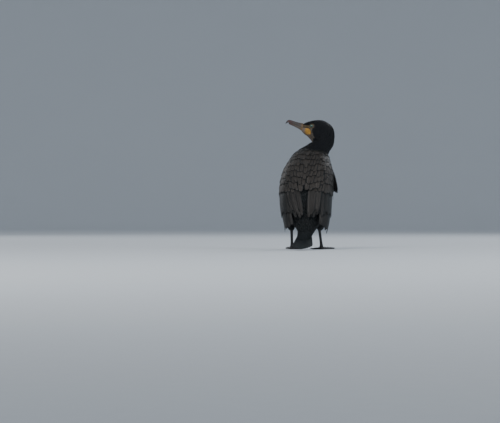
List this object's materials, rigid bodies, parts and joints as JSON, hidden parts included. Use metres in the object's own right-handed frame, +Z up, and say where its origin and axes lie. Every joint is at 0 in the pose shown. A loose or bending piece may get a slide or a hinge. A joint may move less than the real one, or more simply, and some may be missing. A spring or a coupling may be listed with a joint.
{
  "type": "cormorant",
  "caption": "Great cormorant standing upright on webbed feet, wings folded, stiff tail propped behind, head turned to its left with a hooked bill.",
  "frame": {"origin": "middle of the model's box at the floor, under the soles of the feet and the tail", "axes": "+Z up, +Y the way the breast faces, +X to the bird's right; the bill points near -X"},
  "size_m": [0.2094, 0.348, 0.465],
  "materials": {
    "body_plumage": "sleek black feathers with a green-blue gloss",
    "neck_plumage": "short dense black feathers with a blue-violet gloss",
    "gape_skin": "bare wrinkled yellow-orange skin with a pale feathered rim",
    "eye": "wet, emerald iris round a black pupil",
    "bill_horn": "grey horn with a darker ridge and a hooked tip",
    "bill_pale": "pale horn",
    "wing_plumage": "bronze-brown feathers edged with black",
    "tail_plumage": "stiff black feathers with glossy shafts",
    "leg_skin": "black scaled skin",
    "claw": "smooth black horn"
  },
  "bodies": {
    "root": {"torso": "body_plumage", "neck": "neck_plumage", "head": "neck_plumage", "throat_pouch": "gape_skin", "eye_left": "eye", "eye_right": "eye", "bill_upper": "bill_horn", "bill_lower": "bill_pale", "wing_left": "wing_plumage", "wing_right": "wing_plumage", "tail": "tail_plumage", "thigh_left": "body_plumage", "shank_left": "leg_skin", "foot_left": "leg_skin", "claw_hallux_left": "claw", "claw_inner_left": "claw", "claw_middle_left": "claw", "claw_outer_left": "claw", "thigh_right": "body_plumage", "shank_right": "leg_skin", "foot_right": "leg_skin", "claw_hallux_right": "claw", "claw_inner_right": "claw", "claw_middle_right": "claw", "claw_outer_right": "claw"}
  },
  "joints": []
}
